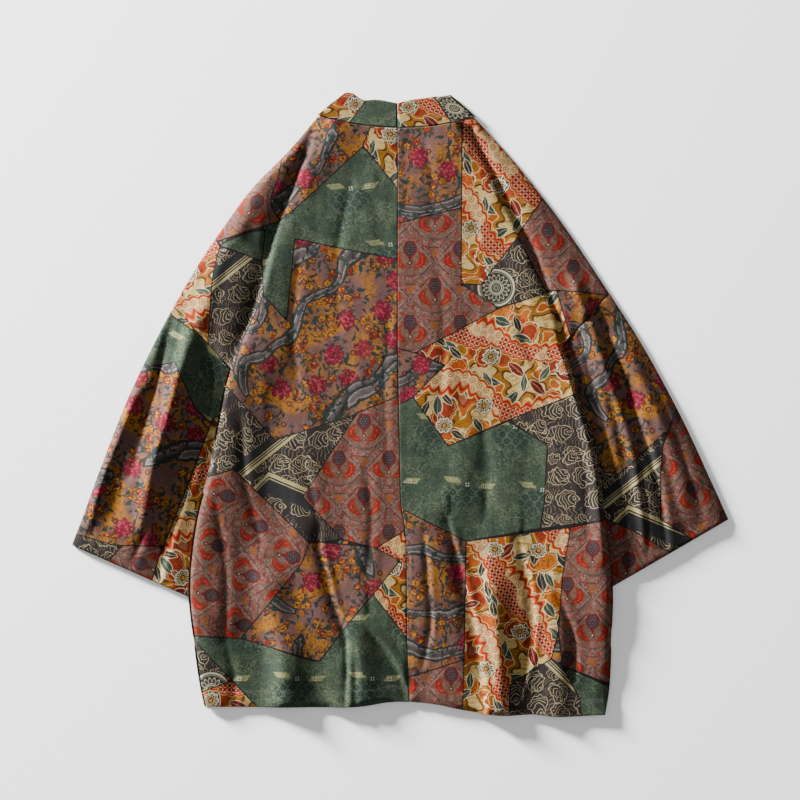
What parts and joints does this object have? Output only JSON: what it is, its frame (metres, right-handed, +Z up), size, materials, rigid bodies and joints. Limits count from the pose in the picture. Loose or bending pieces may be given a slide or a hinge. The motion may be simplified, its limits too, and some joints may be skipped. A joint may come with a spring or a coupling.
{
  "type": "haori kimono jacket",
  "caption": "Short open kimono jacket of printed patchwork cotton, wide sleeves and straight neck band, laid flat with its back up.",
  "frame": {"origin": "middle of the jacket's box at the surface it lies on", "axes": "+X to the right as seen from above, +Y towards the neck, +Z up from the surface; the back is up"},
  "size_m": [0.84, 0.7978, 0.0117],
  "materials": {
    "printed_cotton": "matt printed cotton with a slight sheen"
  },
  "bodies": {
    "root": {"back_left": "printed_cotton", "back_right": "printed_cotton", "front_left": "printed_cotton", "front_right": "printed_cotton", "sleeve_left": "printed_cotton", "sleeve_right": "printed_cotton", "band_left": "printed_cotton", "band_right": "printed_cotton"}
  },
  "joints": []
}
